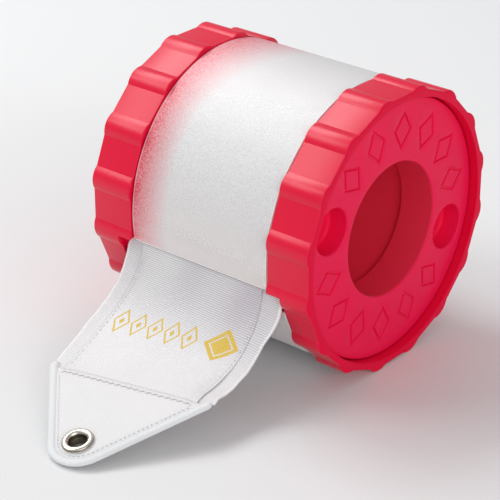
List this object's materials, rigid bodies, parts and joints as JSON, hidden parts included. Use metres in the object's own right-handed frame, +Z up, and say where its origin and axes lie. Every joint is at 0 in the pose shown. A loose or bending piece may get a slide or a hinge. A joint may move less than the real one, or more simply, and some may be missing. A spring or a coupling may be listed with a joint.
{
  "type": "ribbon reel",
  "caption": "Hand reel for a gymnastics ribbon: scalloped grip rings joined by a frosted sleeve, a spool turned by finger cups, and a pointed ribbon end with an eyelet.",
  "frame": {"origin": "on the table under the middle of the box of the whole part", "axes": "+X along the spin axis to the reel's right end, -Y to the front where the ribbon's end lies, +Z up"},
  "size_m": [0.0734, 0.1336, 0.0775],
  "materials": {
    "red_moulding": "smooth moulded, soft gloss",
    "deep_red_moulding": "smooth moulded, soft gloss",
    "frosted_sheet": "frosted translucent sheet",
    "ribbon_cloth": "white satin weave",
    "sewing_thread": "white twisted thread",
    "nickel": "nickel plated, polished"
  },
  "bodies": {
    "housing": {"left_grip_ring": "red_moulding", "right_grip_ring": "red_moulding", "window_sleeve": "frosted_sheet", "ribbon_tail": "ribbon_cloth", "doubled_panel": "ribbon_cloth", "tip_patch": "ribbon_cloth", "tip_piping": "ribbon_cloth", "eyelet": "nickel", "eyelet_washer": "nickel", "cross_seam_thread": "sewing_thread", "tip_seam_thread": "sewing_thread", "left_edge_thread": "sewing_thread", "right_edge_thread": "sewing_thread"},
    "spool": {"left_dial": "red_moulding", "right_dial": "red_moulding", "left_roll_flange": "red_moulding", "right_roll_flange": "red_moulding", "core_tube": "deep_red_moulding", "ribbon_roll": "ribbon_cloth", "ribbon_outer_turn": "ribbon_cloth", "ribbon_start_tab": "ribbon_cloth"}
  },
  "joints": [
    {"name": "spool_spin", "type": "hinge", "parent": "housing", "child": "spool", "pos_m": [0, 0.02811, 0.03873], "axis": [1, 0, 0], "continuous": true}
  ]
}
